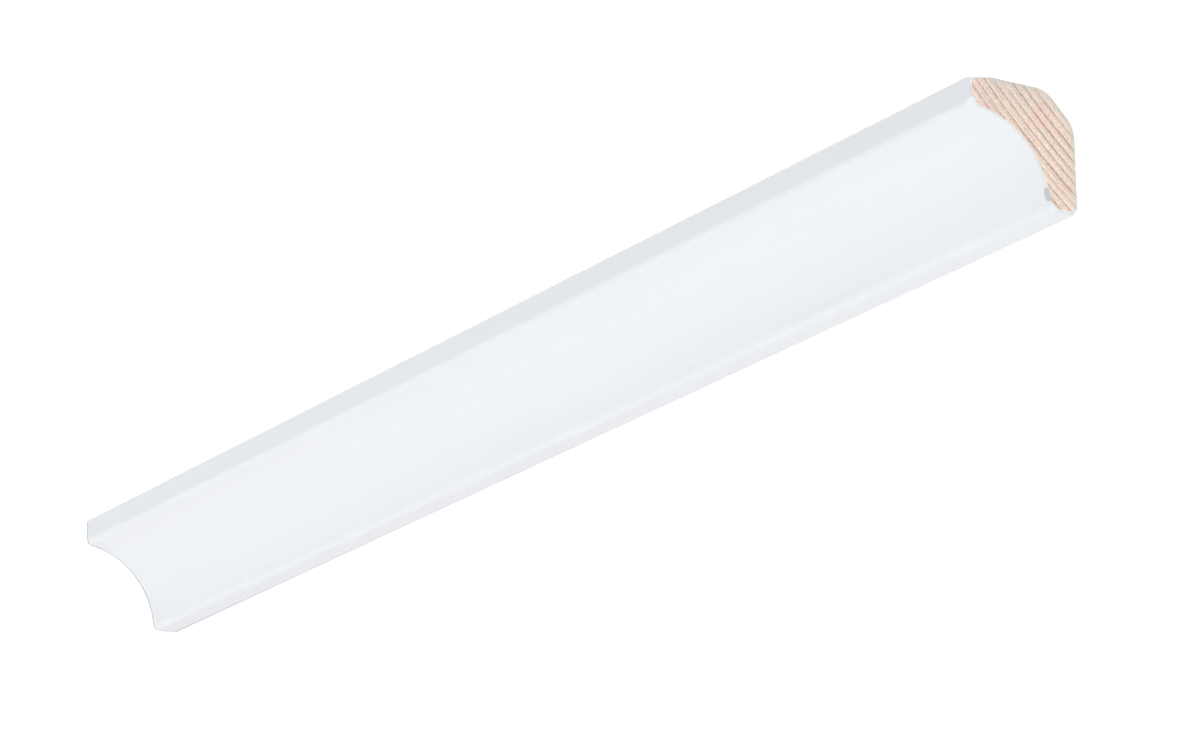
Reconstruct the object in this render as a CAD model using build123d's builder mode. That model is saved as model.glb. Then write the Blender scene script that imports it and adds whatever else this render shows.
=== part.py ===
"""Scotia moulding: a short length of square-legged softwood trim with a hollow front.

The piece is one stick of wood, planed to a single section and cut off square at both ends.
The section starts as a square. A quarter-round hollow, the cove, is cut out of its front
corner, which leaves two lips at right angles. The corner behind is planed off, so that the
moulding beds into an inside corner that isn't sharp.

The stick lies on its base face: X runs along it, Y runs from the toe to the upright back,
and Z points up. The origin is under the middle of the stick, on the surface that it lies on.
Lengths are in millimetres.
"""
from build123d import *
from math import hypot
import os

os.makedirs("parts", exist_ok=True)

# Driving sizes of the stick
length = 300.0
leg = 21.0

# Driving sizes of the section
lip_thickness = 5.4
cove_centre_offset = 0.5
back_chamfer = 5.7

# Edges eased by the planer and softened by sanding before painting
nose_radius = 1.5
outer_arris_radius = 0.5
chamfer_arris_radius = 5.0

# The cove is a circle about a point just outside the front corner of the square.
# It meets each front face where that face has the thickness of a lip left.
front_y = -leg / 2
back_y = leg / 2
cove_reach = leg + cove_centre_offset - lip_thickness
cove_radius = hypot(cove_reach, cove_centre_offset)
cove_centre = (front_y - cove_centre_offset, leg + cove_centre_offset)

# Corners of the section, in the plane of the end: Y to the right and Z up
toe_corner = (front_y, 0)
back_corner = (back_y, 0)
crest_corner = (back_y, leg)
toe_nose = (front_y, lip_thickness)
crest_nose = (back_y - lip_thickness, leg)
chamfer_ends = [(back_y - back_chamfer, 0), (back_y, back_chamfer)]

end_plane = Plane.YZ.offset(-length / 2)

with BuildPart() as scotia_moulding:
    with BuildSketch(end_plane) as section:
        # The square stick, standing on the base line
        Rectangle(leg, leg, align=(Align.CENTER, Align.MIN))

        # The corner that goes into the wall is planed off
        inner_corner = section.vertices().sort_by_distance(back_corner)[0]
        chamfer(inner_corner, length=back_chamfer)

        # The cove
        with Locations(cove_centre):
            Circle(cove_radius, mode=Mode.SUBTRACT)

        # The two noses, where the cove meets the front of each lip
        noses = [section.vertices().sort_by_distance(nose)[0] for nose in (toe_nose, crest_nose)]
        fillet(noses, radius=nose_radius)

        # The two outer arrises, and the two edges of the planed corner
        outer = [section.vertices().sort_by_distance(corner)[0] for corner in (toe_corner, crest_corner)]
        fillet(outer, radius=outer_arris_radius)
        edges_of_chamfer = [section.vertices().sort_by_distance(end)[0] for end in chamfer_ends]
        fillet(edges_of_chamfer, radius=chamfer_arris_radius)

    # The same section runs from one saw cut to the other
    extrude(amount=length)

scotia_moulding.part.label = "scotia_moulding"
export_step(scotia_moulding.part, "parts/scotia_moulding.step")

section_area = scotia_moulding.part.volume / length
print(f"cove radius {cove_radius:.2f} mm, section {section_area:.1f} mm2, length {length:.0f} mm")
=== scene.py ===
# %% [markdown]
# A short length of scotia moulding. On the real object this is one stick of pine, planed to an
# L-shaped section with a hollow front, painted white on the faces that show, and cut off with a saw.
# The looks are made in three steps: a fine mesh of the stick, three finishes (paint, planed wood
# and sawn end grain), and a pale studio with the camera where the photographer stood.
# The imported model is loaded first, because its box says where the stick lies and how large it is.

from math import atan2, cos, degrees, exp, hypot, pi, radians, sin, sqrt, tan

import bmesh
import bpy
from mathutils import Euler, Matrix, Quaternion, Vector, kdtree, noise


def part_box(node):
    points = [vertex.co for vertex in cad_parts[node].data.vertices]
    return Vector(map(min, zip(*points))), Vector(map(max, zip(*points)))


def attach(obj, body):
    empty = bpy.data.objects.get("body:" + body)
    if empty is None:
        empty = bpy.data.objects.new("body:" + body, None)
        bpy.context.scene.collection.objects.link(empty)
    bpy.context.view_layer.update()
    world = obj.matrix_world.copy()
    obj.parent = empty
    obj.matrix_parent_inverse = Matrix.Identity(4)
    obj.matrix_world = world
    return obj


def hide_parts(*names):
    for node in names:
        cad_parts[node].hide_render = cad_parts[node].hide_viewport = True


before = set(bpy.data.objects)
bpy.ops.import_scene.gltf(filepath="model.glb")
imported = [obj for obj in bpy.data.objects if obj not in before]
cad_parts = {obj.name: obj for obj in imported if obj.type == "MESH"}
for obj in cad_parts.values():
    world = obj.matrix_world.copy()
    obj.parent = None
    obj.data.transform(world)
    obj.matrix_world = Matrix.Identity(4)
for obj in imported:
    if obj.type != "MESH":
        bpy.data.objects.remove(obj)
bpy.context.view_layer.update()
low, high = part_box("scotia_moulding")
print("the stick measures", [round(side * 1000, 1) for side in high - low], "mm")

# %% [markdown]
# The sizes of the stick and of its patterns are written in millimetres and multiplied by mm, since
# Blender works in metres. The leg of the section and the length come from the loaded model. The
# sizes of the section's curves are those of the planer's cutter: they can't be read off the box, so
# they are named here. Two very small distances say when points lie in the same place or plane.

# %% Sizes of the stick
mm = 0.001

leg = high.z - low.z
near_x, far_x = high.x, low.x
front_y, back_y = low.y, high.y

lip_thickness = 5.4 * mm
cove_centre_offset = 0.5 * mm
back_chamfer = 5.7 * mm
chamfer_slope = 45
nose_radius = 1.5 * mm
outer_arris_radius = 0.5 * mm
chamfer_arris_radius = 5.0 * mm

same_place = 0.01 * mm
same_plane = 0.001 * mm

cove_radius = hypot(leg + cove_centre_offset - lip_thickness, cove_centre_offset)
cove_y, cove_z = front_y - cove_centre_offset, leg + cove_centre_offset
print("cove radius", round(cove_radius / mm, 2), "mm, leg", round(leg / mm, 1), "mm")

# %% [markdown]
# The outline of the section could be typed as a list of points, but then its curves would be
# frozen. It is drawn the way a drawing pen would go round it instead. A straight stroke extrudes
# the last vertex and moves the new one, and a round stroke spins the last vertex about the centre
# of the curve. Each stroke starts where the one before ended, so the curves meet without a kink.

# %% A pen that draws the outline
curve_step = 0.3 * mm
fewest_steps = 8


def draw_line(bm, tip, y, z):
    """Extrudes the vertex tip to a new one at (y, z) and returns it."""
    end = bmesh.ops.extrude_vert_indiv(bm, verts=[tip])["verts"][0]
    bmesh.ops.translate(bm, verts=[end], vec=Vector((tip.co.x, y, z)) - end.co)
    return end


def draw_arc(bm, tip, y, z, sweep):
    """Spins the vertex tip about (y, z) by sweep degrees and returns the last vertex."""
    centre = Vector((tip.co.x, y, z))
    reach = (tip.co - centre).length * abs(radians(sweep))
    steps = max(fewest_steps, round(reach / curve_step))
    turned = bmesh.ops.spin(bm, geom=[tip], cent=centre, axis=(1, 0, 0), angle=radians(sweep),
                            steps=steps, use_merge=False, use_duplicate=False)
    return turned["geom_last"][0]


# %% [markdown]
# The nose of each lip is a small circle that touches both the flat front of the lip and the large
# circle of the cove. Its centre lies one nose radius inside the flat, and the two centres are as
# far apart as their radii added together. That gives the angle that each round stroke turns.
# The pen starts at the foot of the toe and goes up the cove, over the crest and down the back.

# %% Draw the section
def draw_section(bm, x):
    """Draws the outline of the section at x, as a closed loop of edges."""
    centre_gap = nose_radius + cove_centre_offset
    nose_reach = sqrt((cove_radius + nose_radius) ** 2 - centre_gap ** 2)
    nose_turn = degrees(atan2(nose_reach, centre_gap))
    arris, soft = outer_arris_radius, chamfer_arris_radius
    slope = radians(chamfer_slope)
    soft_end = back_chamfer + soft * tan(slope / 2)

    start = bmesh.ops.create_vert(bm, co=(x, front_y, arris))["vert"][0]
    tip = draw_line(bm, start, front_y, cove_z - nose_reach)
    tip = draw_arc(bm, tip, front_y + nose_radius, cove_z - nose_reach, -nose_turn)
    tip = draw_arc(bm, tip, cove_y, cove_z, 2 * nose_turn - 90)
    tip = draw_arc(bm, tip, cove_y + nose_reach, leg - nose_radius, -nose_turn)
    tip = draw_line(bm, tip, back_y - arris, leg)
    tip = draw_arc(bm, tip, back_y - arris, leg - arris, -90)
    tip = draw_line(bm, tip, back_y, soft_end)
    tip = draw_arc(bm, tip, back_y - soft, soft_end, -chamfer_slope)
    tip = draw_line(bm, tip, back_y - soft_end + soft * cos(slope), soft - soft * sin(slope))
    tip = draw_arc(bm, tip, back_y - soft_end, soft, -chamfer_slope)
    tip = draw_line(bm, tip, front_y + arris, 0)
    tip = draw_arc(bm, tip, front_y + arris, arris, -90)
    bmesh.ops.remove_doubles(bm, verts=[start, tip], dist=same_place)


stick = bmesh.new()
draw_section(stick, far_x)
print("outline:", len(stick.verts), "points")

# %% [markdown]
# The straight sides of the outline have no points between their ends. Shading runs smoothly from
# point to point, so a flat without points near its edge would look dished. Cutting each long
# edge into short pieces keeps the flats flat. Then the loop is filled and extruded
# along the stick, and both ends are inset a little: the thin ring is the edge that the saw and a
# light rub with sandpaper leave.

# %% Extrude the stick
flat_step = 0.3 * mm
end_easing = 0.08 * mm
square_to_stick = 0.99

for edge in list(stick.edges):
    pieces = int(edge.calc_length() / flat_step)
    if pieces > 1:
        bmesh.ops.subdivide_edges(stick, edges=[edge], cuts=pieces - 1)
bmesh.ops.contextual_create(stick, geom=stick.edges[:])
swept = bmesh.ops.extrude_face_region(stick, geom=stick.faces[:])
swept_verts = [item for item in swept["geom"] if isinstance(item, bmesh.types.BMVert)]
bmesh.ops.translate(stick, verts=swept_verts, vec=(near_x - far_x, 0, 0))
bmesh.ops.recalc_face_normals(stick, faces=stick.faces[:])


def end_faces(bm):
    """The faces of both saw cuts."""
    return [face for face in bm.faces if abs(face.normal.x) > square_to_stick]


rims = bmesh.ops.inset_region(stick, faces=end_faces(stick), thickness=end_easing, use_even_offset=True)
rim_faces = set(rims["faces"])
for x, way in ((far_x, 1), (near_x, -1)):
    inner = {vert for face in end_faces(stick) if face not in rim_faces for vert in face.verts}
    outer = [vert for vert in stick.verts if abs(vert.co.x - x) < same_place and vert not in inner]
    bmesh.ops.translate(stick, verts=outer, vec=(way * end_easing, 0, 0))
print("stick volume", round(stick.calc_volume() * 1e6, 2), "cm3")

# %% [markdown]
# Wear and relief need vertices to move. The stick is cut across by planes that stand close
# together at the ends, where the dents and chips are, and further apart towards the middle.
# Each end is cut into a fine grid, so that the hard rings of the wood can stand proud of it.

# %% Cut the stick across and grid its ends
first_cut = 0.3 * mm
widest_cut = 5 * mm
cut_growth = 1.15
grid_pitch = 0.3 * mm
along_stick = 0.5


def cut(bm, faces, place, normal):
    """Cuts the faces along a plane."""
    geom = set(faces)
    geom.update(edge for face in faces for edge in face.edges)
    geom.update(vert for face in faces for vert in face.verts)
    bmesh.ops.bisect_plane(bm, geom=list(geom), dist=same_plane, plane_co=place, plane_no=normal)


step, reach = first_cut, end_easing + first_cut
while reach < near_x:
    for x in (near_x - reach, far_x + reach):
        walls = [face for face in stick.faces if abs(face.normal.x) < along_stick]
        cut(stick, walls, (x, 0, 0), (1, 0, 0))
    step = min(step * cut_growth, widest_cut)
    reach += step

lines = int(leg / grid_pitch)
for line in range(1, lines):
    cut(stick, end_faces(stick), (0, front_y + line * leg / lines, 0), (0, 1, 0))
    cut(stick, end_faces(stick), (0, 0, line * leg / lines), (0, 0, 1))
print("faces after the cuts:", len(stick.faces))

# %% [markdown]
# Softwood grows a pale soft layer each spring and a thin dark hard layer each summer. On the cut
# end these layers are curved lines, and their common centre is the pith of the tree, which lies
# well outside so small a stick. The radii below are where the dark layers show on the real end.
# The same rings are used for the relief here and for the colour later, so the two always agree.
# The saw also leaves the soft wood slightly fuzzy, so the relief is roughened in small patches.

# %% The growth rings
pith_y, pith_z = 118.2 * mm, -102.5 * mm
first_ring = 152.84 * mm
ring_widths = [1.53, 1.65, 1.55, 1.55, 1.4, 1.65, 1.45, 1.4, 1.45]
ring_strengths = [0.6, 0.8, 1.0, 1.0, 0.65, 0.66, 1.0, 0.57, 0.7, 0.9]
ring_radii = [first_ring + sum(ring_widths[:count]) * mm for count in range(len(ring_widths) + 1)]
dark_width = 0.2 * mm
ring_relief = 0.05 * mm
fuzz_size = 0.6 * mm
fuzz_share = 0.4


def hardness(y, z):
    """How much of the summer layer there is at a point of the section, from 0 to 1."""
    radius = hypot(y - pith_y, z - pith_z)
    return max(max(0.0, 1 - abs(radius - ring) / dark_width) * strength
               for ring, strength in zip(ring_radii, ring_strengths))


for x, way in ((far_x, 1), (near_x, -1)):
    for vert in stick.verts:
        if abs(vert.co.x - x) < same_place:
            softness = 1 - hardness(vert.co.y, vert.co.z)
            fuzz = noise.noise(vert.co / fuzz_size) * fuzz_share
            vert.co.x += way * ring_relief * max(0.0, softness + fuzz)
print("rings from", round(ring_radii[0] / mm, 1), "to", round(ring_radii[-1] / mm, 1), "mm from the pith")

# %% [markdown]
# The ends have been knocked about. At the near end both lips are worn down to small flats on their
# outer edge and on their nose. At the far end the foot of the toe and the crest's corner are worn.
# Each flat is made by cutting the mesh along a plane through three points, and then laying
# everything beyond the plane down onto it. That keeps the flat's border crisp, which moving
# vertices by a soft falloff wouldn't. What lies beyond is the side away from the corner between
# the lips. The three points are given in millimetres from the nearest corner of the stick's box.

# %% Wear flats on the lips
between_lips = Vector((0, back_y - lip_thickness / 2, lip_thickness / 2))
near_crest, near_toe = Vector((near_x, back_y, leg)), Vector((near_x, front_y, 0))
far_crest, far_toe = Vector((far_x, back_y, leg)), Vector((far_x, front_y, 0))


def wear_flat(bm, corner, offsets):
    """Cuts along the plane through three points and lays what lies beyond it down onto the plane."""
    first, second, third = (corner + Vector(offset) * mm for offset in offsets)
    normal = (second - first).cross(third - first).normalized()
    if normal.dot(between_lips - first) > 0:
        normal.negate()
    bmesh.ops.bisect_plane(bm, geom=bm.verts[:] + bm.edges[:] + bm.faces[:], dist=same_plane,
                           plane_co=first, plane_no=normal)
    beyond = [vert for vert in bm.verts if (vert.co - first).dot(normal) > 0]
    for vert in beyond:
        vert.co -= normal * (vert.co - first).dot(normal)
    return len(beyond)


worn_flats = [
    ("crest outer edge", near_crest, [(-1.8, -0.08, -0.08), (0, 0, -4.1), (0, -0.8, 0)]),
    ("crest nose", near_crest, [(-2.2, -5.05, -0.5), (0, -4.0, 0), (0, -5.45, -1.3)]),
    ("toe outer edge", near_toe, [(-1.4, 0, 0), (0, 1.1, 0), (0, 0.26, 1.5)]),
    ("toe nose", near_toe, [(0, 1.01, 5.17), (0, 0.31, 4.17), (-0.9, 0.27, 4.86)]),
    ("toe rim", near_toe, [(-0.5, 0, 1.0), (-0.5, 0, 4.0), (0, 0.25, 1.0)]),
    ("far toe", far_toe, [(0, 0, 2.6), (0.8, 0, 0), (0, 1.5, 0)]),
    ("far crest", far_crest, [(1.7, 0, 0), (0, -0.6, 0), (0, 0, -1.2)]),
]
for name, corner, offsets in worn_flats:
    print(name, "vertices laid flat:", wear_flat(stick, corner, offsets))

# %% [markdown]
# In the cove, right at the saw cut, something hard has left a small dent, a millimetre wide
# and two and a half long. Its grey is painted later, as painted shade in its hollow and a little thin
# paint.
# It is described by a frame of its own, with its middle, its tilt on the cove and its reach each way,
# so that a vertex is inside where that frame puts it less than 1 from the middle. Such a vertex is
# moved into the wood, and hardly any less until close to the edge.

# %% Dent in the cove
dent_from_front = 2.8 * mm
dent_from_cut = 0.6 * mm
dent_y = front_y + dent_from_front
dent_z = cove_z - sqrt(cove_radius ** 2 - (dent_y - cove_y) ** 2)
dent_place = Vector((near_x - dent_from_cut, dent_y, dent_z))
dent_tilt = Euler((0, 0, radians(13.6)))
dent_reach = Vector((0.85, 1.3, 1.3)) * mm
dent_depth = 0.2 * mm


def press(bm, place, tilt, reach, push):
    """Moves the vertices inside a tilted ellipsoid by push, fading out near its border."""
    into_dent = Matrix.LocRotScale(place, tilt, reach).inverted()
    pressed = 0
    for vert in bm.verts:
        gone = (into_dent @ vert.co).length
        if gone < 1:
            vert.co += push * (1 - gone ** 4)
            pressed += 1
    return pressed


print("dented vertices:", press(stick, dent_place, dent_tilt, dent_reach, Vector((0, 0, -dent_depth))))

# %% [markdown]
# The stick is one piece with three finishes. Paint covers everything that faces forwards or up, and
# wraps round the outer edges. The saw cuts are bare, and so are the two backs and the planed
# corner between them, which nobody sees once the moulding is fixed.

# %% Give each face its finish
paint, planed, sawn = 0, 1, 2
towards_front = Vector((0, -sin(radians(45)), sin(radians(45))))
facing = 0.6

bmesh.ops.recalc_face_normals(stick, faces=stick.faces[:])
for face in stick.faces:
    face.smooth = True
    if abs(face.normal.x) > facing:
        face.material_index = sawn
    elif face.normal.dot(towards_front) < -facing:
        face.material_index = planed
    else:
        face.material_index = paint
print("painted faces:", sum(face.material_index == paint for face in stick.faces))

# %% [markdown]
# Two things lie along the edges of the saw cuts. Paint has run a little way onto the wood from the
# front, and along the bare back, base and planed corner the end grain is darkened as painted shade.
# Each vertex keeps how near it is to the faces that either comes from, and the colour of the end
# grain reads it.

# %% Mark the edges of the cuts
bleed_reach = 0.8 * mm
edge_shade_reach = 0.6 * mm


def mark_nearness(bm, name, faces, reach):
    """Stores on each vertex how near it is to some faces: 1 on them, a third at reach, and so on."""
    spots = {vert.index: vert.co.copy() for face in faces for vert in face.verts}
    found = kdtree.KDTree(len(spots))
    for index, spot in spots.items():
        found.insert(spot, index)
    found.balance()
    layer = bm.verts.layers.float.new(name)
    for vert in bm.verts:
        vert[layer] = exp(-found.find(vert.co)[2] / reach)


stick.verts.index_update()
for name, finish, reach in (("paint_edge", paint, bleed_reach), ("edge_shade", planed, edge_shade_reach)):
    sources = [face for face in stick.faces if face.material_index == finish]
    print(name, "comes from", len(sources), "faces")
    mark_nearness(stick, name, sources, reach)

# %% [markdown]
# The bmesh becomes the mesh of one object. The object stays at the origin, because its vertices
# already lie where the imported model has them.

# %% Finish the mesh
mesh = bpy.data.meshes.new("moulding")
stick.to_mesh(mesh)
stick.free()
moulding = bpy.data.objects.new("moulding", mesh)
bpy.context.scene.collection.objects.link(moulding)
mesh.calc_loop_triangles()
print("moulding:", len(mesh.polygons), "faces,", len(mesh.loop_triangles), "triangles")

# %% [markdown]
# Materials are built from nodes. Colours are written as the hex values that a paint chart or a
# picture program gives, and one function turns them to the linear light that Blender mixes in.
# One more function adds a node with its settings and plugs in its links, so that each material
# below reads from top to bottom like a recipe.

# %% Colour and node helpers
def linear(hex_colour):
    """The linear RGBA of an sRGB hex colour."""
    parts = [int(hex_colour[i:i + 2], 16) / 255 for i in (1, 3, 5)]
    return [c / 12.92 if c <= 0.04045 else ((c + 0.055) / 1.055) ** 2.4 for c in parts] + [1.0]


def add_node(tree, kind, settings=(), links=()):
    """Adds a node, sets its properties or sockets, and links its sockets from other nodes' outputs."""
    node = tree.nodes.new(kind)
    for name, value in dict(settings).items():
        if isinstance(name, str) and hasattr(node, name):
            setattr(node, name, value)
        else:
            node.inputs[name].default_value = value
    for name, source in dict(links).items():
        tree.links.new(source, node.inputs[name])
    return node


def new_material(name):
    """A material with an empty node tree, and its tree."""
    material = bpy.data.materials.new(name)
    material.use_nodes = True
    material.node_tree.nodes.clear()
    return material, material.node_tree


# %% [markdown]
# A pattern is laid on the piece's own coordinates, which are metres along the stick, across it and
# up. Dividing them by the size of one patch of the pattern gives streaks that run with the grain: a
# fibre of the planed wood is 25 mm long and a third of a millimetre wide. The seed picks another
# pattern. Borders and lines that aren't quite straight are pushed to and fro by such a pattern.

# %% Grain streaks
def streaks(tree, place, size, detail=3.0, seed=0.0):
    """Noise with patches of size (in metres along X, Y and Z), as a value about 0.5."""
    scaled = add_node(tree, "ShaderNodeVectorMath", {"operation": "DIVIDE", 1: size}, {0: place})
    return add_node(tree, "ShaderNodeTexNoise",
                    {"noise_dimensions": "4D", "W": seed, "Scale": 1.0, "Detail": detail, "Roughness": 0.6},
                    {"Vector": scaled.outputs[0]}).outputs["Fac"]


def wander(tree, place, size, detail, seed, reach):
    """The same noise, spread about zero so that it stays within reach either way."""
    return add_node(tree, "ShaderNodeMapRange", {"To Min": -reach, "To Max": reach},
                    {"Value": streaks(tree, place, size, detail, seed)}).outputs[0]


# %% [markdown]
# The rings run the whole length of the stick, so they are the distance from the pith's line, read
# through a colour ramp that has three stops for each ring: where it starts to darken, its
# darkest place, and where the next spring's pale wood has taken over. The tree wasn't quite
# straight, so the distance wanders by up to a millimetre away from the near end. A second, much
# finer wander of a tenth of a millimetre keeps the lines from looking drawn with a pen.

# %% Growth rings as a shader
ring_margin = 1.2 * mm
ramp_low, ramp_high = ring_radii[0] - ring_margin, ring_radii[-1] + ring_margin
darkening, paling = 1.2 * dark_width, 1.4 * dark_width
afterglow = 0.2
drift_reach = 1.0 * mm
drift_run = 60 * mm
drift_at_near_end = 0.15
fine_wander = 0.3 * mm


def pith_distance(tree, place):
    """How far a place is from the pith's line, as the tree grew."""
    across = add_node(tree, "ShaderNodeVectorMath", {"operation": "MULTIPLY", 1: (0, 1, 1)}, {0: place})
    radius = add_node(tree, "ShaderNodeVectorMath", {"operation": "DISTANCE", 1: (0, pith_y, pith_z)},
                      {0: across.outputs[0]})
    along = add_node(tree, "ShaderNodeSeparateXYZ", links={0: place}).outputs["X"]
    fade = add_node(tree, "ShaderNodeMapRange",
                    {"From Min": near_x, "From Max": near_x - drift_run, "To Min": drift_at_near_end,
                     "To Max": 1.0}, {"Value": along})
    drift = wander(tree, place, (90 * mm, 14 * mm, 14 * mm), 2.0, 4.0, drift_reach)
    faded = add_node(tree, "ShaderNodeMath", {"operation": "MULTIPLY"}, {0: drift, 1: fade.outputs[0]})
    drifted = add_node(tree, "ShaderNodeMath", {"operation": "ADD"},
                       {0: radius.outputs["Value"], 1: faded.outputs[0]})
    fine = streaks(tree, place, (40 * mm, 1.1 * mm, 1.1 * mm), 2.0, 13.0)
    return add_node(tree, "ShaderNodeMath", {"operation": "MULTIPLY_ADD", 1: fine_wander},
                    {0: fine, 2: drifted.outputs[0]}).outputs[0]


def growth_rings(tree, place):
    """How dark the wood is at a place, from 0 in the spring layer to 1 in the hardest summer layer."""
    ramp_place = add_node(tree, "ShaderNodeMapRange",
                          {"From Min": ramp_low + fine_wander / 2, "From Max": ramp_high + fine_wander / 2},
                          {"Value": pith_distance(tree, place)})
    ramp = add_node(tree, "ShaderNodeValToRGB", links={"Fac": ramp_place.outputs[0]})
    stops = ramp.color_ramp.elements
    stops[0].color = stops[1].color = (0, 0, 0, 1)
    for ring, strength in zip(ring_radii, ring_strengths):
        for offset, dark in ((-darkening, 0.0), (0.0, strength), (paling, afterglow)):
            stop = stops.new((ring + offset - ramp_low) / (ramp_high - ramp_low))
            stop.color = (dark, dark, dark, 1)
    return ramp.outputs["Color"]


# %% [markdown]
# Two marks lie on the wood of the near end and in the cove beside it. The dent is a grey spot,
# painted shade in its hollow with a little thin paint, found with the same frame that pressed it into
# the mesh. The paint that has run over the edge of the cut follows the nearness that the vertices
# keep, and stops where the dent has knocked it off. Both have a ragged border, because a smooth one
# would look printed.

# %% Dent and run paint
dent_raggedness = 0.25
bleed_raggedness = 0.35


def dent_spot(tree, place):
    """1 in the dent at the near end, 0 elsewhere, with a slightly ragged border."""
    inside = add_node(tree, "ShaderNodeMapping",
                      {"vector_type": "TEXTURE", "Location": dent_place, "Rotation": dent_tilt,
                       "Scale": dent_reach}, {"Vector": place})
    gone = add_node(tree, "ShaderNodeVectorMath", {"operation": "LENGTH"}, {0: inside.outputs[0]})
    ragged = wander(tree, place, (0.6 * mm, 0.6 * mm, 0.6 * mm), 2.0, 11.0, dent_raggedness)
    border = add_node(tree, "ShaderNodeMath", {"operation": "ADD"}, {0: gone.outputs["Value"], 1: ragged})
    return add_node(tree, "ShaderNodeMapRange", {"From Min": 1.0, "From Max": 0.88},
                    {"Value": border.outputs[0]}).outputs[0]


def paint_bleed(tree, place):
    """1 where paint has run over the edge of a saw cut, 0 on bare wood, with a ragged border."""
    near = add_node(tree, "ShaderNodeAttribute", {"attribute_name": "paint_edge"})
    ragged = wander(tree, place, (1.1 * mm, 1.1 * mm, 1.1 * mm), 3.0, 14.0, bleed_raggedness)
    border = add_node(tree, "ShaderNodeMath", {"operation": "ADD"}, {0: near.outputs["Fac"], 1: ragged})
    outside_dent = add_node(tree, "ShaderNodeMath", {"operation": "SUBTRACT"},
                            {0: border.outputs[0], 1: dent_spot(tree, place)})
    return add_node(tree, "ShaderNodeMapRange", {"From Min": 0.82, "From Max": 0.92},
                    {"Value": outside_dent.outputs[0]}).outputs[0]


# %% [markdown]
# Sawn pine end grain. The saw cuts every fibre across, so the surface is matt and slightly fuzzy.
# The dark rings don't keep the same darkness along their length: stretches a few millimetres long
# are redder or greyer than the next. The pale wood between them is mottled, pinker in one place and
# creamier in another. Thin layers a third of a millimetre wide run along the rings, faint rays run
# across them from the pith, and loose fibre ends make specks half a millimetre wide. Over that lie
# painted shade along the bare edges, the paint and the dent. Rays and layers are drawn on
# coordinates that are turned to point away from the pith, and a size of a metre along the stick keeps
# them the same throughout.

# %% Sawn end grain
cream_wood, pink_wood = "#F0E3D4", "#F2DBD0"
reddish_ring, greyish_ring = "#BA8275", "#A68A77"
# The colours of the painted shade along the bare edges of the cut.
base_edge_shade, back_edge_shade = "#DBDED3", "#CDD0C9"
white_paint = "#F3F5F8"
pith_angle = atan2(leg / 3 - pith_z, -pith_y)
unchanging = 1.0
ray_share, speck_share = 0.3, 1.7


def end_wood(tree, place, from_pith, rings):
    """Mottled pale wood, and rings that are redder in one stretch and greyer in the next."""
    patches = add_node(tree, "ShaderNodeMapRange", {"From Min": 0.42, "From Max": 0.58},
                       {"Value": streaks(tree, from_pith, (3 * mm, 1.0 * mm, 3.5 * mm), 3.0, 10.0)})
    pale = add_node(tree, "ShaderNodeMix",
                    {"data_type": "RGBA", 6: linear(cream_wood), 7: linear(pink_wood)},
                    {0: patches.outputs[0]})
    stretches = add_node(tree, "ShaderNodeMapRange", {"From Min": 0.42, "From Max": 0.58},
                         {"Value": streaks(tree, place, (3 * mm, 3 * mm, 3 * mm), 1.0, 15.0)})
    dark = add_node(tree, "ShaderNodeMix",
                    {"data_type": "RGBA", 6: linear(reddish_ring), 7: linear(greyish_ring)},
                    {0: stretches.outputs[0]})
    return add_node(tree, "ShaderNodeMix", {"data_type": "RGBA"},
                    {0: rings, 6: pale.outputs[2], 7: dark.outputs[2]}).outputs[2]


def cut_fibres(tree, place, from_pith):
    """Specks, thin layers and faint rays together, as a value about one and a half."""
    rays = streaks(tree, from_pith, (unchanging, 2.5 * mm, 0.25 * mm), 2.0, 1.0)
    layers = streaks(tree, from_pith, (unchanging, 0.35 * mm, 12 * mm), 1.0, 16.0)
    specks = streaks(tree, place, (0.42 * mm, 0.42 * mm, 0.42 * mm), 3.0, 2.0)
    crossed = add_node(tree, "ShaderNodeMath", {"operation": "MULTIPLY_ADD", 1: ray_share},
                       {0: rays, 2: layers})
    return add_node(tree, "ShaderNodeMath", {"operation": "MULTIPLY_ADD", 1: speck_share},
                    {0: specks, 2: crossed.outputs[0]}).outputs[0]


def edge_shade_colour(tree, place):
    """The colour of the painted shade along the bare edges: faintly green along the base, and greyer
    towards the back.
    """
    across = add_node(tree, "ShaderNodeSeparateXYZ", links={0: place}).outputs["Y"]
    towards_back = add_node(tree, "ShaderNodeMapRange", {"From Min": 2 * mm, "From Max": 7 * mm},
                            {"Value": across})
    return add_node(tree, "ShaderNodeMix",
                    {"data_type": "RGBA", 6: linear(base_edge_shade), 7: linear(back_edge_shade)},
                    {0: towards_back.outputs[0]}).outputs[2]


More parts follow.
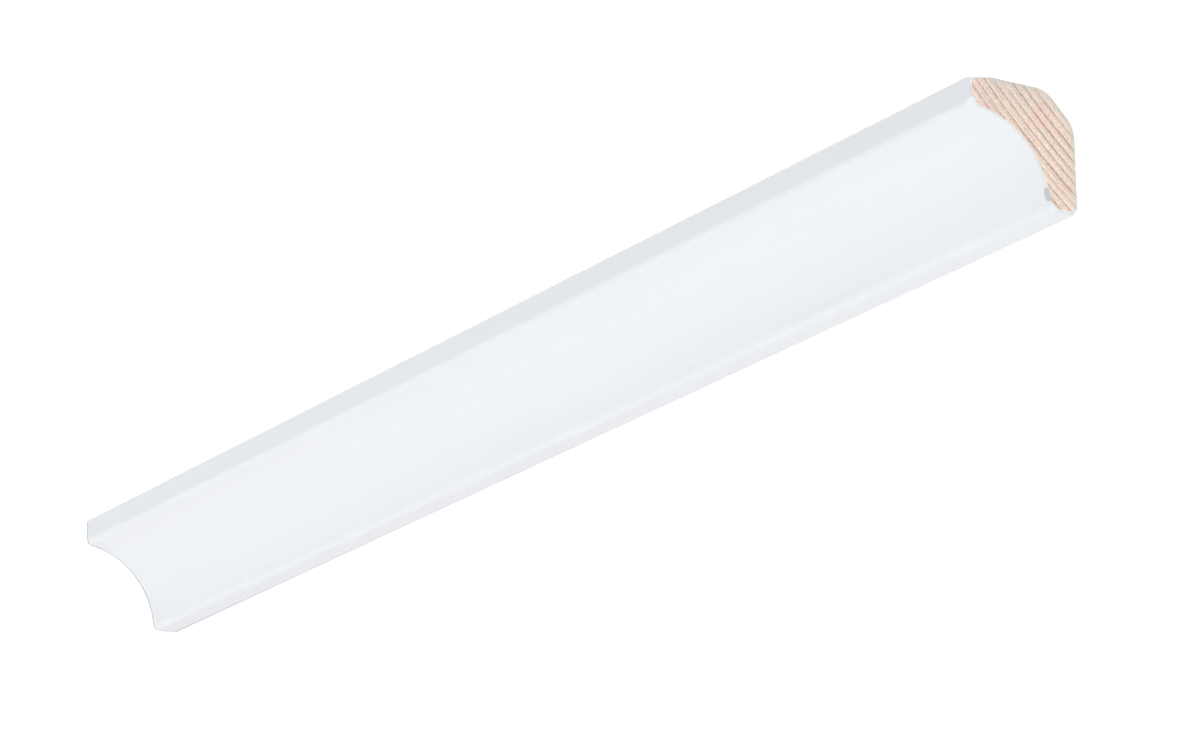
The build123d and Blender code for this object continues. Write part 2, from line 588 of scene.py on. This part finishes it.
def sawn_end_grain():
    """Bare pine cut across by a fine saw."""
    material, tree = new_material("pine_sawn_end_grain")
    place = add_node(tree, "ShaderNodeTexCoord").outputs["Object"]
    uneven = add_node(tree, "ShaderNodeMapRange",
                      {"From Min": 0.35, "From Max": 0.65, "To Min": 0.65, "To Max": 1.2},
                      {"Value": streaks(tree, place, (1.2 * mm, 1.2 * mm, 1.2 * mm), 2.0, 9.0)})
    rings = add_node(tree, "ShaderNodeMath", {"operation": "MULTIPLY", "use_clamp": True},
                     {0: growth_rings(tree, place), 1: uneven.outputs[0]}).outputs[0]
    from_pith = add_node(tree, "ShaderNodeMapping", {"Rotation": (-pith_angle, 0, 0)},
                         {"Vector": place}).outputs[0]
    fibres = cut_fibres(tree, place, from_pith)
    shade = add_node(tree, "ShaderNodeMapRange",
                     {"From Min": 1.0, "From Max": 2.0, "To Min": 0.66, "To Max": 1.29}, {"Value": fibres})
    textured = add_node(tree, "ShaderNodeVectorMath", {"operation": "MULTIPLY"},
                        {0: end_wood(tree, place, from_pith, rings), 1: shade.outputs[0]})
    # Painted shade: the end grain darkens near the bare back, base and planed corner.
    near_bare_edge = add_node(tree, "ShaderNodeAttribute", {"attribute_name": "edge_shade"})
    edge_shaded = add_node(tree, "ShaderNodeMix", {"data_type": "RGBA"},
                      {0: near_bare_edge.outputs["Fac"], 6: textured.outputs[0], 7: edge_shade_colour(tree, place)})
    colour = add_node(tree, "ShaderNodeMix", {"data_type": "RGBA", 7: linear(white_paint)},
                      {0: paint_bleed(tree, place), 6: edge_shaded.outputs[2]})
    relief = add_node(tree, "ShaderNodeMath", {"operation": "MULTIPLY_ADD", 1: 0.5}, {0: rings, 2: fibres})
    bump = add_node(tree, "ShaderNodeBump", {"Strength": 0.35, "Distance": 0.06 * mm},
                    {"Height": relief.outputs[0]})
    surface = add_node(tree, "ShaderNodeBsdfPrincipled", {"Roughness": 0.85, "IOR": 1.45},
                       {"Base Color": colour.outputs[2], "Normal": bump.outputs[0]})
    add_node(tree, "ShaderNodeOutputMaterial", links={"Surface": surface.outputs[0]})
    return material


# %% [markdown]
# Planed pine, bare. A planer leaves the wood smooth, with fine knife marks across it, about one and
# a half millimetres apart. The rings show as long straight lines, since the stick was cut
# along them. Short brown dashes are resin canals. The paint of the front wraps round the outer
# edges and ends in an uneven line, because it is put on after planing with the back left bare.

# %% Planed back
spring_wood, summer_wood, resin_brown = "#EBD6BE", "#C0966F", "#A87448"
knife_pitch = 1.6 * mm
wave_radians_per_unit = 20
paint_wrap = 0.7 * mm
wrap_raggedness = 0.8 * mm
wrap_blur = 0.1 * mm


def painted_edge(tree, place):
    """1 where the paint of the front wraps onto a back face, 0 on bare wood."""
    split = add_node(tree, "ShaderNodeSeparateXYZ", links={0: place})
    under_crest = add_node(tree, "ShaderNodeMath", {"operation": "SUBTRACT", 1: leg - outer_arris_radius},
                           {0: split.outputs["Z"]})
    behind_toe = add_node(tree, "ShaderNodeMath",
                          {"operation": "SUBTRACT", 0: front_y + outer_arris_radius},
                          {1: split.outputs["Y"]})
    nearer = add_node(tree, "ShaderNodeMath", {"operation": "MAXIMUM"},
                      {0: under_crest.outputs[0], 1: behind_toe.outputs[0]})
    ragged = wander(tree, place, (6 * mm, 2 * mm, 2 * mm), 5.0, 5.0, wrap_raggedness)
    edge = add_node(tree, "ShaderNodeMath", {"operation": "ADD"}, {0: nearer.outputs[0], 1: ragged})
    return add_node(tree, "ShaderNodeMapRange",
                    {"From Min": -paint_wrap - wrap_blur, "From Max": -paint_wrap + wrap_blur},
                    {"Value": edge.outputs[0]}).outputs[0]


def planed_wood(tree, place, fibres):
    """Bare wood with straight rings, fine fibres and resin canals."""
    wood = add_node(tree, "ShaderNodeMix",
                    {"data_type": "RGBA", 6: linear(spring_wood), 7: linear(summer_wood)},
                    {0: growth_rings(tree, place)})
    shade = add_node(tree, "ShaderNodeMapRange",
                     {"From Min": 0.3, "From Max": 0.7, "To Min": 0.92, "To Max": 1.04}, {"Value": fibres})
    tinted = add_node(tree, "ShaderNodeVectorMath", {"operation": "MULTIPLY"},
                      {0: wood.outputs[2], 1: shade.outputs[0]})
    canals = streaks(tree, place, (7 * mm, 0.25 * mm, 0.25 * mm), 1.0, 6.0)
    dash = add_node(tree, "ShaderNodeMapRange", {"From Min": 0.76, "From Max": 0.82, "To Max": 0.45},
                    {"Value": canals})
    return add_node(tree, "ShaderNodeMix", {"data_type": "RGBA", 7: linear(resin_brown)},
                    {0: dash.outputs[0], 6: tinted.outputs[0]}).outputs[2]


def planed_back():
    """Bare planed pine, with the edge of the paint along its outer edges."""
    material, tree = new_material("pine_planed_bare_with_paint_edge")
    place = add_node(tree, "ShaderNodeTexCoord").outputs["Object"]
    fibres = streaks(tree, place, (25 * mm, 0.35 * mm, 0.35 * mm), 4.0, 3.0)
    edge = painted_edge(tree, place)
    colour = add_node(tree, "ShaderNodeMix", {"data_type": "RGBA", 7: linear(white_paint)},
                      {0: edge, 6: planed_wood(tree, place, fibres)})
    knife = add_node(tree, "ShaderNodeTexWave",
                     {"bands_direction": "X", "Scale": 2 * pi / knife_pitch / wave_radians_per_unit,
                      "Distortion": 0.3, "Detail": 0.0}, {"Vector": place})
    relief = add_node(tree, "ShaderNodeMath", {"operation": "MULTIPLY_ADD", 1: 0.15},
                      {0: knife.outputs["Fac"], 2: fibres})
    lifted = add_node(tree, "ShaderNodeMath", {"operation": "MULTIPLY_ADD", 1: 0.8},
                      {0: edge, 2: relief.outputs[0]})
    bump = add_node(tree, "ShaderNodeBump", {"Strength": 0.4, "Distance": 0.05 * mm},
                    {"Height": lifted.outputs[0]})
    rough = add_node(tree, "ShaderNodeMapRange", {"To Min": 0.62, "To Max": 0.42}, {"Value": edge})
    surface = add_node(tree, "ShaderNodeBsdfPrincipled", {"IOR": 1.47},
                       {"Base Color": colour.outputs[2], "Roughness": rough.outputs[0],
                        "Normal": bump.outputs[0]})
    add_node(tree, "ShaderNodeOutputMaterial", links={"Surface": surface.outputs[0]})
    return material


# %% [markdown]
# White satin paint, sprayed on at the mill. It is a cool white with a soft sheen. It fills
# the pores of the wood, but the hard rings and the longest fibres still show through as very faint
# ridges along the stick. The colour is nearly even, with a trace of the fibres. Three greys on it are
# painted shade: a strip half a millimetre wide along the saw cuts, strongest at the far end, a line
# along the foot of the toe towards the far end, where it lies on the floor, and the dent's hollow,
# where the paint is also a little thin.

# %% Painted front
# The greys of the painted shade along the cuts, along the foot and in the dent.
cut_shade_grey, foot_shade_grey, dent_shade_grey = "#C6CAC8", "#BFC1C3", "#CDCFD1"
cut_strip = 0.6 * mm
near_cut_share = 0.25
foot_shade_top, foot_shade_full = 1.1 * mm, 0.4 * mm


def shade_along_the_cuts(tree, place):
    """Painted shade along the saw cuts: 1 at the far cut and less at the near one, falling to 0 a strip
    away, with a ragged border.
    """
    along = add_node(tree, "ShaderNodeSeparateXYZ", links={0: place}).outputs["X"]
    from_middle = add_node(tree, "ShaderNodeMath", {"operation": "ABSOLUTE"}, {0: along})
    ragged = wander(tree, place, (1.5 * mm, 0.7 * mm, 0.7 * mm), 3.0, 12.0, 0.7 * cut_strip)
    outwards = add_node(tree, "ShaderNodeMath", {"operation": "ADD"},
                        {0: from_middle.outputs[0], 1: ragged})
    strip = add_node(tree, "ShaderNodeMapRange",
                     {"From Min": near_x - cut_strip, "From Max": near_x - cut_strip / 2},
                     {"Value": outwards.outputs[0]})
    weight = add_node(tree, "ShaderNodeMapRange",
                      {"From Min": far_x, "From Max": near_x, "To Min": 1.0, "To Max": near_cut_share},
                      {"Value": along})
    return add_node(tree, "ShaderNodeMath", {"operation": "MULTIPLY"},
                    {0: strip.outputs[0], 1: weight.outputs[0]}).outputs[0]


def shade_along_the_foot(tree, place):
    """Painted shade along the foot of the toe, where it lies on the floor: 1 at the far end, dying out
    towards the near end and upwards.
    """
    split = add_node(tree, "ShaderNodeSeparateXYZ", links={0: place}).outputs
    low_down = add_node(tree, "ShaderNodeMapRange", {"From Min": foot_shade_top, "From Max": foot_shade_full},
                        {"Value": split["Z"]})
    along = add_node(tree, "ShaderNodeMapRange", {"From Min": near_x, "From Max": far_x},
                     {"Value": split["X"]})
    dying = add_node(tree, "ShaderNodeMath", {"operation": "POWER", 1: 6.0}, {0: along.outputs[0]})
    return add_node(tree, "ShaderNodeMath", {"operation": "MULTIPLY"},
                    {0: low_down.outputs[0], 1: dying.outputs[0]}).outputs[0]


def painted_front():
    """Satin white paint over planed pine."""
    material, tree = new_material("satin_white_paint_sprayed_on_pine")
    place = add_node(tree, "ShaderNodeTexCoord").outputs["Object"]
    fibres = streaks(tree, place, (40 * mm, 0.8 * mm, 0.8 * mm), 3.0, 7.0)
    mist = streaks(tree, place, (1.2 * mm, 1.2 * mm, 1.2 * mm), 2.0, 8.0)
    shade = add_node(tree, "ShaderNodeMapRange",
                     {"From Min": 0.3, "From Max": 0.7, "To Min": 0.985, "To Max": 1.0}, {"Value": fibres})
    white = add_node(tree, "ShaderNodeVectorMath", {"operation": "MULTIPLY", 0: linear(white_paint)[:3]},
                     {1: shade.outputs[0]})
    # Painted shade: the paint greys along the saw cuts, most at the far end.
    cut_shaded = add_node(tree, "ShaderNodeMix", {"data_type": "RGBA", 7: linear(cut_shade_grey)},
                      {0: shade_along_the_cuts(tree, place), 6: white.outputs[0]})
    # Painted shade: a grey line along the foot of the toe, where it lies on the floor.
    foot_shaded = add_node(tree, "ShaderNodeMix", {"data_type": "RGBA", 7: linear(foot_shade_grey)},
                       {0: shade_along_the_foot(tree, place), 6: cut_shaded.outputs[2]})
    # Painted shade: the dent's hollow is greyed, along with a little thin paint.
    colour = add_node(tree, "ShaderNodeMix", {"data_type": "RGBA", 7: linear(dent_shade_grey)},
                      {0: dent_spot(tree, place), 6: foot_shaded.outputs[2]})
    ridges = add_node(tree, "ShaderNodeMath", {"operation": "MULTIPLY_ADD", 1: 0.3},
                      {0: growth_rings(tree, place), 2: fibres})
    relief = add_node(tree, "ShaderNodeMath", {"operation": "MULTIPLY_ADD", 1: 0.5},
                      {0: mist, 2: ridges.outputs[0]})
    bump = add_node(tree, "ShaderNodeBump", {"Strength": 0.2, "Distance": 0.03 * mm},
                    {"Height": relief.outputs[0]})
    surface = add_node(tree, "ShaderNodeBsdfPrincipled", {"Roughness": 0.65, "IOR": 1.5},
                       {"Base Color": colour.outputs[2], "Normal": bump.outputs[0]})
    add_node(tree, "ShaderNodeOutputMaterial", links={"Surface": surface.outputs[0]})
    return material


for finish in (painted_front(), planed_back(), sawn_end_grain()):
    mesh.materials.append(finish)
print("finishes:", [finish.name for finish in mesh.materials])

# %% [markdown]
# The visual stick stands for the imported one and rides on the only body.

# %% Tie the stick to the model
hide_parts("scotia_moulding")
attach(moulding, "root")

# %% [markdown]
# The studio is a white floor under an even white sky. The camera sees floor and sky as plain white,
# but the light that they throw onto the stick is softer than that, so that the white paint keeps
# its shape. The floor still darkens a little where the stick keeps the light off it. Further away,
# where the lamps hardly reach, it glows a little more, so that no grey horizon shows. Sizes and
# distances of the studio are in metres.

# %% Floor and sky
floor_size = 12.0
board_white, seen_grey, sky_white = "#E6E6E6", "#959595", "#FFFFFF"
glow_near, glow_far = 0.87, 1.05
glow_grows_from, glow_grows_to = 0.6, 2.0
sky_strength = 0.15


def seen_directly(tree):
    """1 for what the camera sees, straight or by reflection, and 0 for light that falls on things."""
    path = add_node(tree, "ShaderNodeLightPath").outputs
    mirrored = add_node(tree, "ShaderNodeMath", {"operation": "MAXIMUM"},
                        {0: path["Is Glossy Ray"], 1: path["Is Transmission Ray"]})
    return add_node(tree, "ShaderNodeMath", {"operation": "MAXIMUM"},
                    {0: path["Is Camera Ray"], 1: mirrored.outputs[0]}).outputs[0]


def studio_floor():
    """A floor of matt white board."""
    material, tree = new_material("white_board_floor")
    board = add_node(tree, "ShaderNodeBsdfDiffuse", {"Color": linear(board_white)})
    shown = add_node(tree, "ShaderNodeBsdfDiffuse", {"Color": linear(seen_grey)})
    place = add_node(tree, "ShaderNodeTexCoord").outputs["Object"]
    away = add_node(tree, "ShaderNodeVectorMath", {"operation": "LENGTH"}, {0: place})
    level = add_node(tree, "ShaderNodeMapRange",
                     {"From Min": glow_grows_from, "From Max": glow_grows_to, "To Min": glow_near,
                      "To Max": glow_far}, {"Value": away.outputs["Value"]})
    glow = add_node(tree, "ShaderNodeEmission", links={"Strength": level.outputs[0]})
    white = add_node(tree, "ShaderNodeAddShader", links={0: shown.outputs[0], 1: glow.outputs[0]})
    mixed = add_node(tree, "ShaderNodeMixShader",
                     links={0: seen_directly(tree), 1: board.outputs[0], 2: white.outputs[0]})
    add_node(tree, "ShaderNodeOutputMaterial", links={"Surface": mixed.outputs[0]})
    return material


floor_mesh = bpy.data.meshes.new("floor")
ground = bmesh.new()
bmesh.ops.create_grid(ground, x_segments=1, y_segments=1, size=floor_size / 2)
ground.to_mesh(floor_mesh)
ground.free()
floor = bpy.data.objects.new("floor", floor_mesh)
floor_mesh.materials.append(studio_floor())
bpy.context.scene.collection.objects.link(floor)

world = bpy.data.worlds.new("white_sky")
bpy.context.scene.world = world
world.use_nodes = True
sky = world.node_tree
sky.nodes.clear()
sky_light = add_node(sky, "ShaderNodeBackground", {"Color": linear(sky_white), "Strength": sky_strength})
sky_seen = add_node(sky, "ShaderNodeBackground", {"Color": linear(sky_white), "Strength": 1.0})
sky_mix = add_node(sky, "ShaderNodeMixShader",
                   links={0: seen_directly(sky), 1: sky_light.outputs[0], 2: sky_seen.outputs[0]})
add_node(sky, "ShaderNodeOutputWorld", links={"Surface": sky_mix.outputs[0]})
print("floor", floor_size, "m wide, sky strength", sky_strength)

# %% [markdown]
# Eight soft boxes. The main one hangs above and a little in front, so that the cove shades gently
# from edge to edge. Two small ones stand close in front, one low beside the near end and one beside
# the far end, and make the light drift slightly along the stick. Beyond the far end stand a low
# one that is faintly pink and a high one that is faintly cyan, because the upper cove leans a
# little to lilac and the lower cove a little to cyan. Two more stand behind, a high one and a low
# one that reaches the bare back and the far cut. The last is far off and lights the near end,
# which none of the others reach straight on. Each has its place and width in metres, its power in
# watts and its tint. The powers and tints of those that light the paint were fitted to the photograph.

# %% Lamps
def add_lamp(name, place, size, power, tint):
    """A square soft box at place, facing the stick."""
    lamp = bpy.data.lights.new(name, "AREA")
    lamp.shape = "SQUARE"
    lamp.size = size
    lamp.energy = power
    lamp.color = linear(tint)[:3]
    lamp_object = bpy.data.objects.new(name, lamp)
    lamp_object.location = place
    lamp_object.rotation_mode = "QUATERNION"
    lamp_object.rotation_quaternion = (-Vector(place)).to_track_quat("-Z", "Y")
    bpy.context.scene.collection.objects.link(lamp_object)


add_lamp("main_soft_box", (0.0, -0.5, 1.0), 0.5, 5.04, "#FBFFFF")
add_lamp("near_front_box", (0.45, -0.6, 0.15), 0.3, 1.33, "#FEFFFD")
add_lamp("far_front_box", (-0.45, -0.35, 0.45), 0.3, 0.41, "#FBFEFF")
add_lamp("low_warm_box", (-0.7, -1.0, 0.3), 0.6, 2.14, "#FFEDF2")
add_lamp("far_cool_box", (-1.1, 0.0, 0.8), 0.6, 2.19, "#EFFFFE")
add_lamp("back_soft_box", (0.0, 0.8, 1.2), 0.6, 2.7, "#FFF2F9")
add_lamp("low_back_box", (-1.2, 1.2, 0.1), 0.2, 12.0, "#FFF6F8")
add_lamp("end_soft_box", (3.8, 1.2, 0.4), 1.5, 101.6, "#FFFFFE")
print("lamps:", [lamp.name for lamp in bpy.data.lights])

# %% [markdown]
# The camera's place, aim and tilt were worked out from the edges and both ends of the stick in the
# photograph. It looks down at the cove and is turned almost on its side, so that the crest lip
# is at the top of the picture. A long lens from about a metre away gives the gentle perspective.

# %% Camera
camera_place = Vector((907.02, -346.2, 599.96)) * mm
camera_aim = Vector((7.521, 2.672, 0.291)) * mm
camera_roll = radians(-79.348)
image_width, focal_pixels, sensor_width = 1200, 6172.4, 36.0

lens = bpy.data.cameras.new("camera")
lens.sensor_width = sensor_width
lens.lens = sensor_width * focal_pixels / image_width
camera = bpy.data.objects.new("camera", lens)
camera.location = camera_place
camera.rotation_mode = "QUATERNION"
upright = (camera_aim - camera_place).to_track_quat("-Z", "Y")
camera.rotation_quaternion = upright @ Quaternion((0, 0, 1), camera_roll)
bpy.context.scene.collection.objects.link(camera)
bpy.context.scene.camera = camera
bpy.context.scene.view_settings.view_transform = "Standard"
print("lens", round(lens.lens, 1), "mm")
